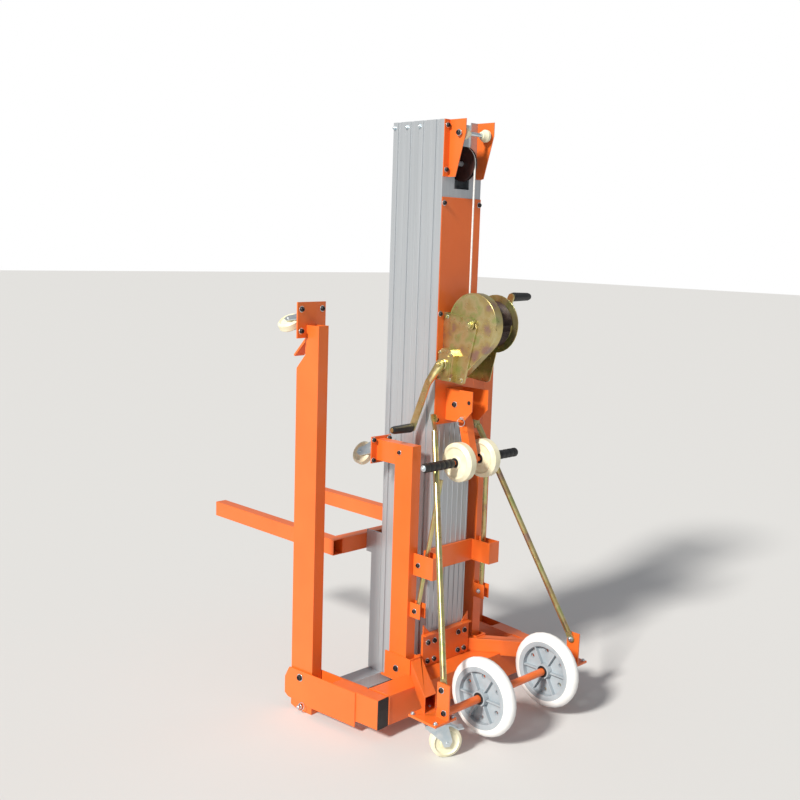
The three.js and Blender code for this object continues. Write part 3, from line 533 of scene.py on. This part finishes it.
def add_base_fasteners():
    stabiliser_pin, brace_eye, axle_end = (40, 147), (-298, 223), (-311, 154)
    bracket_outer, bracket_inner = 333.2, 320.5
    caster_plate_top, clip_side = 134.1, 166.1
    for side, sign in SIDES.items():
        bolt("base", place(sign * 191.2, *stabiliser_pin), sign * X_AXIS, 9)
        nut("base", place(sign * 140.8, *stabiliser_pin), -sign * X_AXIS, 8, 6)
        for spot in (brace_eye, axle_end):
            bolt("base", place(sign * bracket_outer, *spot), sign * X_AXIS, 8)
        nut("base", place(sign * bracket_inner, *brace_eye), -sign * X_AXIS, 8, 6)
        for x in (302, 376):
            for y in (-222, -317):
                bolt("base", place(sign * x, y, caster_plate_top), Z_AXIS, 6, 5, "blue_zinc")
        bolt("base", place(sign * clip_side, -23, 514), sign * X_AXIS, 7)
        hinge = Vector(JOINTS[f"leg_{side}_swing"]["pos_m"])
        outward, forward = arm_axes(side, sign)
        hinge_plate = outward * 30.2 * MM
        bolt("base", hinge + hinge_plate, outward, 10)
        nut("base", hinge - hinge_plate, -outward, 9)
        add_arm_cap(side, hinge, forward)
        add_leg_fasteners(side, hinge, outward, forward)
        add_stabiliser_fasteners(side, sign)
        add_brake_pedal(side)


def arm_axes(side, sign):
    """Unit vectors along the splayed arm's pin, away from the mast, and along the arm, forwards."""
    outward = Vector(JOINTS[f"leg_{side}_swing"]["axis"]) * (-sign)
    return outward, outward.cross(Z_AXIS) * (-sign)


def add_arm_cap(side, hinge, forward):
    arm_length, tube_bottom, half_wide, half_high = 340, 45, 25, 48.5
    middle = hinge - forward * arm_length * MM
    middle.z = (tube_bottom + half_high) * MM
    outline = rounded_outline(half_wide, half_high, 5)
    matrix = Matrix((forward.cross(Z_AXIS), Z_AXIS, -forward)).transposed().to_4x4()
    seat = Matrix.Translation(middle) @ matrix
    kit.slab(f"arm_cap_{side}", "base", "black_grip", outline, seat, 3)


def rounded_outline(half_wide, half_high, corner, steps=4):
    """A rectangle with round corners, counter-clockwise about its middle."""
    points = []
    for quadrant, (sx, sy) in enumerate(((1, 1), (-1, 1), (-1, -1), (1, -1))):
        for i in range(steps + 1):
            angle = (quadrant + i / steps) * math.pi / 2
            x = sx * (half_wide - corner) + corner * math.cos(angle)
            y = sy * (half_high - corner) + corner * math.sin(angle)
            points.append((x, y))
    return points


def add_leg_fasteners(side, hinge, outward, forward):
    """Bolts of the leg's caster plate, and the ringed lock pin at its foot."""
    body = f"leg_{side}"
    plate_middle, pin_height = 1307, 17
    for across in (-46, 46):
        for up in (-34.5, 34.5):
            spot = hinge + outward * across * MM + forward * 5.9 * MM
            spot.z = (plate_middle + up) * MM
            bolt(body, spot, -forward, 8)
    pin = hinge + outward * 22 * MM
    pin.z = pin_height * MM
    barrel = [(6, 0), (6, 3), (9, 3.5), (9, 7), (6.5, 8), (6.5, 16), (5, 17.5), (0, 18)]
    kit.lathe(f"lock_pin_{side}", body, "blue_zinc", barrel, pin, outward, 18)
    loop_centre = pin + outward * 14 * MM + forward * -13 * MM + Z_AXIS * 6 * MM
    kit.ring(f"lock_pin_{side}", body, "blue_zinc", loop_centre, outward + Z_AXIS * 0.5, 13, 1.3)


def add_stabiliser_fasteners(side, sign):
    body = f"stabiliser_{side}"
    middle, plate_rear, plate_middle = 166, 166.9, 873
    stay_eye, vent = (-21, 359), (60, 880)
    for across in (-36, 36):
        for up in (-34, 34):
            spot = place(sign * middle + across, plate_rear, plate_middle + up)
            bolt(body, spot, -Y_AXIS, 7)
    bolt(body, place(sign * 174.1, *stay_eye), sign * X_AXIS, 7)
    nut(body, place(sign * 145.8, *stay_eye), -sign * X_AXIS, 6.5, 5)
    bolt(body, place(sign * 186.1, *vent), sign * X_AXIS, 6)


def add_brake_pedal(side):
    """A bent foot lever above the rear caster's wheel, with a pressed tread."""
    swivel = Vector(JOINTS[f"rear_caster_{side}_swivel"]["pos_m"])
    roll = JOINTS[f"rear_caster_{side}_roll"]
    axle = Vector(roll["axis"]).normalized()
    trail = Vector(roll["pos_m"]) - swivel
    trail.z = 0
    trail.normalize()
    matrix = Matrix((-trail, Z_AXIS, axle)).transposed().to_4x4()
    width, fork_reach, height = 30, 54, 100
    start = swivel + trail * fork_reach * MM - axle * width / 2 * MM
    start.z = height * MM
    lever = [(0, 0), (-22, -14), (-40, -12), (-41, -8), (-22, -9.5), (2, 6), (30, 8), (30, 4)]
    seat = Matrix.Translation(start) @ matrix
    fork = f"rear_caster_{side}_fork"
    kit.slab(f"brake_pedal_{side}", fork, "blue_zinc", list(reversed(lever)), seat, width)


def teardrop_edge(x, big, small, steps=22):
    """Points around two circles joined by tangents; each circle is (y, z, radius)."""
    heading = math.atan2(small[1] - big[1], small[0] - big[0])
    apart = math.hypot(small[0] - big[0], small[1] - big[1])
    spread = math.acos((big[2] - small[2]) / apart)
    arcs = (
        (big, heading + spread, heading - spread + 2 * math.pi),
        (small, heading - spread, heading + spread),
    )
    points = []
    for (y, z, radius), start, end in arcs:
        for i in range(steps + 1):
            angle = start + (end - start) * i / steps
            points.append(place(x, y + radius * math.cos(angle), z + radius * math.sin(angle)))
    return points + points[:1]


def add_winch_details():
    drum_y, drum_z = DRUM_CENTRE
    plate_x, box_x, nut_x, crank_end = -66.1, -88.1, 69.2, 112.1
    for y, z in ((-18, 1326), (-88, 1126), (-14, 1135)):
        bolt("base", place(plate_x, y, z), -X_AXIS, 6, 5, "yellow_zinc")
    for y, z in ((-12, 1212), (-60, 1210), (-58, 1128), (-12, 1128)):
        bolt("base", place(box_x, y, z), -X_AXIS, 4.5, 4, "yellow_zinc")
    nut("base", place(plate_x - 8, *DRUM_CENTRE), -X_AXIS, 12, 10, "yellow_zinc")
    nut("base", place(nut_x, *DRUM_CENTRE), X_AXIS, 12, 10, "yellow_zinc")
    for sign in SIDES.values():
        nut("crank", place(sign * crank_end, *CRANK_CENTRE), sign * X_AXIS, 9, 7, "yellow_zinc")
    cover = teardrop_edge(-62.5, (drum_y, drum_z, 98.4), (-52, 1160, 40.4))
    kit.sweep("gear_cover_lip", "base", "yellow_zinc", cover, 2.4)
    plate_edge = [
        (-9, 1339), (-120, 1327), (-137, 1320), (-145, 1300),
        (-102, 1121), (-92, 1115), (-9, 1123),
    ]
    lip = [place(plate_x - 0.3, y, z) for y, z in plate_edge]
    kit.sweep("side_plate_lip", "base", "yellow_zinc", lip, 1.8)
    for inset, height in ((5, 3), (11, 6)):
        step = rounded_outline(29 - inset, 46 - inset, 8)
        seat = Matrix.Translation(place(box_x + 0.1, -38, 1170)) @ WINCH_FACE
        kit.slab("gearbox_steps", "base", "yellow_zinc", step, seat, height)
    bearing = [(19, 0), (19, 8), (16, 10), (9.6, 10)]
    kit.lathe("crank_bearing", "base", "yellow_zinc", bearing, place(box_x, *CRANK_CENTRE), -X_AXIS, 24)
    turns, per_turn, start_x, end_x, wound = 11, 24, -23, 45, 71.6
    steps = turns * per_turn
    points = []
    for i in range(steps + 1):
        angle = math.pi + 2 * math.pi * i / per_turn
        x = start_x + (end_x - start_x) * i / steps
        points.append(place(x, drum_y + wound * math.cos(angle), drum_z + wound * math.sin(angle)))
    # The wound steel cable takes the dark iron finish as painted shade: it is coloured dark for the shadow it lies
    # in between the gear cover and the drum's far flange.
    kit.sweep("wound_cable", "drum", "dark_iron", points, 2.9)
    rivets, rivet_circle = 5, 50
    rivet = [(6, 0), (6, 1), (4, 3), (0, 3.6)]
    for i in range(rivets):
        angle = 2 * math.pi * i / rivets
        y = drum_y + rivet_circle * math.cos(angle)
        z = drum_z + rivet_circle * math.sin(angle)
        kit.lathe("drum_rivets", "drum", "yellow_zinc", rivet, place(52.1, y, z), X_AXIS, 14)


def add_wheel_details():
    """Black bearing seals on both faces of the transport and loading wheels."""
    wheels = (
        ("transport_wheel", "seal", 24, [(19.5, 0), (19.5, 1.5), (14.2, 2.2)], 28),
        ("loading_wheel", "loading_seal", 22, [(16, 0), (16, 1.5), (9, 2)], 24),
    )
    for side in SIDES:
        for wheel, seal, half_width, profile, count in wheels:
            body = f"{wheel}_{side}"
            centre = Vector(JOINTS[f"{body}_roll"]["pos_m"])
            for sign in (-1, 1):
                seat = centre + X_AXIS * sign * half_width * MM
                kit.lathe(f"{seal}_{side}", body, "black_grip", profile, seat, X_AXIS * sign, count)


def add_loader_details():
    cheek_x, axle_end_x = 40.1, 228.1
    pivot, axle = (-42, 1040), (-90, 858)
    # Thin black discs on the bracket cheeks stand in for the holes there: painted shade in place of open holes.
    hole_shade_disc = [(7, 0), (7, 0.6), (5, 0.8)]
    for sign in SIDES.values():
        outward = sign * X_AXIS
        bolt("base", place(sign * cheek_x, *pivot), outward, 8)
        seat = place(sign * cheek_x, -104, 1052)
        kit.lathe("loading_holes", "base", "black_grip", hole_shade_disc, seat, outward, 18)
        nut("loading_arm", place(sign * axle_end_x, *axle), outward, 8, 5, "blue_zinc")
    pin = place(-cheek_x, -80, 1000)
    shank = [(5, 0), (5, 10), (4, 12), (0, 12.5)]
    kit.lathe("loading_pin", "base", "blue_zinc", shank, pin, -X_AXIS, 16)
    loop = pin + Vector((-9, 0, -14)) * MM
    kit.ring("loading_pin", "base", "blue_zinc", loop, (1, 0.4, 0), 13, 1.2)


add_camera()
add_studio()
finish_cad_nodes()
add_mast_fasteners()
add_mast_ribs()
add_base_fasteners()
add_welds()
add_winch_details()
add_wheel_details()
add_loader_details()
kit.finish()
